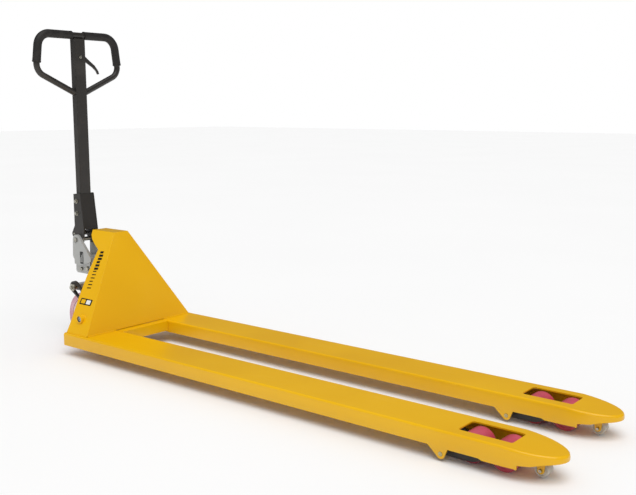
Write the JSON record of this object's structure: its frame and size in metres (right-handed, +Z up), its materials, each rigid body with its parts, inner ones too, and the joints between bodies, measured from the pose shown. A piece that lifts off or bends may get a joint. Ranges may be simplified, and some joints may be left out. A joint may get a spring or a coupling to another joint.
{
  "type": "pallet jack",
  "caption": "Manual pallet jack with long narrow forks: hydraulic pump, steering wheels, loop handle, rocker linkage, tandem load rollers and entry rollers.",
  "frame": {"origin": "middle of the overall length and width, on the floor, forks lowered and handle upright", "axes": "+X towards the fork tips, +Y to the left of someone at the handle, +Z up"},
  "size_m": [2.1654, 0.522, 1.1947],
  "materials": {
    "yellow_paint": "gloss enamel",
    "black_paint": "satin powder coat",
    "grey_casting": "painted casting",
    "bright_steel": "ground",
    "zinc_plate": "zinc plated",
    "grip_rubber": "matt",
    "red_polyurethane": "cast polyurethane",
    "grey_nylon": "moulded",
    "pink_tyre": "cast polyurethane",
    "rim_nylon": "moulded nylon"
  },
  "bodies": {
    "frame": {"left_fork": "yellow_paint", "right_fork": "yellow_paint", "bulkhead": "yellow_paint", "heel_beam": "yellow_paint", "ram_cup": "yellow_paint", "ram": "bright_steel", "left_rocker_shaft": "bright_steel", "right_rocker_shaft": "bright_steel", "left_bracket_pin": "zinc_plate", "right_bracket_pin": "zinc_plate", "left_entry_axle": "zinc_plate", "right_entry_axle": "zinc_plate"},
    "thrust": {"thrust_plate": "grey_casting", "thrust_bearing": "bright_steel", "left_trunnion": "zinc_plate", "right_trunnion": "zinc_plate"},
    "rocker": {"rocker": "black_paint", "left_lever_pin": "zinc_plate", "right_lever_pin": "zinc_plate"},
    "pump": {"pump_body": "grey_casting", "ram_gland": "black_paint", "steer_axle": "bright_steel", "handle_shaft": "zinc_plate"},
    "plunger": {"plunger": "bright_steel", "plunger_spring": "bright_steel"},
    "release": {"release_lever": "black_paint"},
    "handle": {"handle_base": "black_paint", "press_pin": "zinc_plate", "handle_stem": "black_paint", "handle_loop": "black_paint", "left_grip": "grip_rubber", "right_grip": "grip_rubber", "lever_pin": "zinc_plate"},
    "press_roller": {"press_roller": "bright_steel"},
    "control": {"control_lever": "black_paint"},
    "pull_rod": {"pull_rod": "zinc_plate"},
    "left_push_rod": {"left_push_rod": "zinc_plate"},
    "left_bracket": {"left_roller_bracket": "black_paint", "left_push_pin": "zinc_plate"},
    "left_bogie": {"left_bogie": "black_paint", "left_rear_roller_axle": "zinc_plate", "left_front_roller_axle": "zinc_plate"},
    "left_rear_roller": {"left_rear_load_roller": "red_polyurethane"},
    "left_front_roller": {"left_front_load_roller": "red_polyurethane"},
    "left_entry_roller": {"left_entry_roller": "grey_nylon"},
    "left_wheel": {"left_steer_tyre": "pink_tyre", "left_steer_rim": "rim_nylon"},
    "right_push_rod": {"right_push_rod": "zinc_plate"},
    "right_bracket": {"right_roller_bracket": "black_paint", "right_push_pin": "zinc_plate"},
    "right_bogie": {"right_bogie": "black_paint", "right_rear_roller_axle": "zinc_plate", "right_front_roller_axle": "zinc_plate"},
    "right_rear_roller": {"right_rear_load_roller": "red_polyurethane"},
    "right_front_roller": {"right_front_load_roller": "red_polyurethane"},
    "right_entry_roller": {"right_entry_roller": "grey_nylon"},
    "right_wheel": {"right_steer_tyre": "pink_tyre", "right_steer_rim": "rim_nylon"}
  },
  "joints": [
    {"name": "lift", "type": "slide", "parent": "frame", "child": "thrust", "axis": [0, 0, -1], "range_m": [0, 0.115]},
    {"name": "steer", "type": "hinge", "parent": "thrust", "child": "pump", "pos_m": [-0.91312, 0, 0.1], "axis": [0, 0, 1], "range_deg": [-90, 90]},
    {"name": "handle_tilt", "type": "hinge", "parent": "pump", "child": "handle", "pos_m": [-1.02812, 0, 0.388], "axis": [0, -1, 0], "range_deg": [0, 75], "stiffness_Nm_per_rad": 22, "springref_deg": -5.73},
    {"name": "plunger_stroke", "type": "slide", "parent": "pump", "child": "plunger", "axis": [0, 0, -1], "range_m": [0, 0.0428], "deforming": ["plunger_spring"]},
    {"name": "press_roller_spin", "type": "hinge", "parent": "handle", "child": "press_roller", "pos_m": [-1.05588, 0, 0.40931], "axis": [0, 1, 0], "continuous": true},
    {"name": "control_lever_turn", "type": "hinge", "parent": "handle", "child": "control", "pos_m": [-1.03012, 0, 1.098], "axis": [1, 0, 0], "range_deg": [-12, 12], "stiffness_Nm_per_rad": 0.6},
    {"name": "pull_rod_slide", "type": "slide", "parent": "handle", "child": "pull_rod", "axis": [0, 0, 1], "range_m": [-0.0025, 0.0025]},
    {"name": "release_turn", "type": "hinge", "parent": "pump", "child": "release", "pos_m": [-0.98312, 0.049, 0.292], "axis": [0, 1, 0], "range_deg": [-10, 10]},
    {"name": "rocker_turn", "type": "hinge", "parent": "frame", "child": "rocker", "pos_m": [-0.77812, 0, 0.138], "axis": [0, -1, 0], "range_deg": [0, 44.23]},
    {"name": "left_rod_slide", "type": "slide", "parent": "frame", "child": "left_push_rod", "axis": [1, 0, 0], "range_m": [0, 0.0551]},
    {"name": "left_bracket_turn", "type": "hinge", "parent": "frame", "child": "left_bracket", "pos_m": [0.76887, 0.185, 0.021], "axis": [0, 1, 0], "range_deg": [0, 71.43]},
    {"name": "left_bogie_level", "type": "hinge", "parent": "left_bracket", "child": "left_bogie", "pos_m": [0.88088, 0.185, 0.034], "axis": [0, -1, 0], "range_deg": [0, 71.43]},
    {"name": "left_rear_roller_spin", "type": "hinge", "parent": "left_bogie", "child": "left_rear_roller", "pos_m": [0.83388, 0.185, 0.04], "axis": [0, 1, 0], "continuous": true},
    {"name": "left_front_roller_spin", "type": "hinge", "parent": "left_bogie", "child": "left_front_roller", "pos_m": [0.92788, 0.185, 0.04], "axis": [0, 1, 0], "continuous": true},
    {"name": "left_entry_roller_spin", "type": "hinge", "parent": "frame", "child": "left_entry_roller", "pos_m": [1.01988, 0.185, 0.024], "axis": [0, 1, 0], "continuous": true},
    {"name": "left_wheel_spin", "type": "hinge", "parent": "pump", "child": "left_wheel", "pos_m": [-0.91312, 0.0775, 0.1], "axis": [0, 1, 0], "continuous": true},
    {"name": "right_rod_slide", "type": "slide", "parent": "frame", "child": "right_push_rod", "axis": [1, 0, 0], "range_m": [0, 0.0551]},
    {"name": "right_bracket_turn", "type": "hinge", "parent": "frame", "child": "right_bracket", "pos_m": [0.76887, -0.185, 0.021], "axis": [0, 1, 0], "range_deg": [0, 71.43]},
    {"name": "right_bogie_level", "type": "hinge", "parent": "right_bracket", "child": "right_bogie", "pos_m": [0.88088, -0.185, 0.034], "axis": [0, -1, 0], "range_deg": [0, 71.43]},
    {"name": "right_rear_roller_spin", "type": "hinge", "parent": "right_bogie", "child": "right_rear_roller", "pos_m": [0.83388, -0.185, 0.04], "axis": [0, 1, 0], "continuous": true},
    {"name": "right_front_roller_spin", "type": "hinge", "parent": "right_bogie", "child": "right_front_roller", "pos_m": [0.92788, -0.185, 0.04], "axis": [0, 1, 0], "continuous": true},
    {"name": "right_entry_roller_spin", "type": "hinge", "parent": "frame", "child": "right_entry_roller", "pos_m": [1.01988, -0.185, 0.024], "axis": [0, 1, 0], "continuous": true},
    {"name": "right_wheel_spin", "type": "hinge", "parent": "pump", "child": "right_wheel", "pos_m": [-0.91312, -0.0775, 0.1], "axis": [0, 1, 0], "continuous": true}
  ],
  "couplings": [
    {"joint": "plunger_stroke", "follows": "handle_tilt", "m_per_rad": 0.032554},
    {"joint": "pull_rod_slide", "follows": "control_lever_turn", "m_per_rad": -0.01},
    {"joint": "release_turn", "follows": "control_lever_turn", "ratio": 0.8},
    {"joint": "rocker_turn", "follows": "lift", "rad_per_m": 6.7053},
    {"joint": "left_rod_slide", "follows": "lift", "ratio": 0.47745},
    {"joint": "left_bracket_turn", "follows": "lift", "rad_per_m": 10.834},
    {"joint": "left_bogie_level", "follows": "lift", "rad_per_m": 10.834},
    {"joint": "right_rod_slide", "follows": "lift", "ratio": 0.47745},
    {"joint": "right_bracket_turn", "follows": "lift", "rad_per_m": 10.834},
    {"joint": "right_bogie_level", "follows": "lift", "rad_per_m": 10.834}
  ]
}
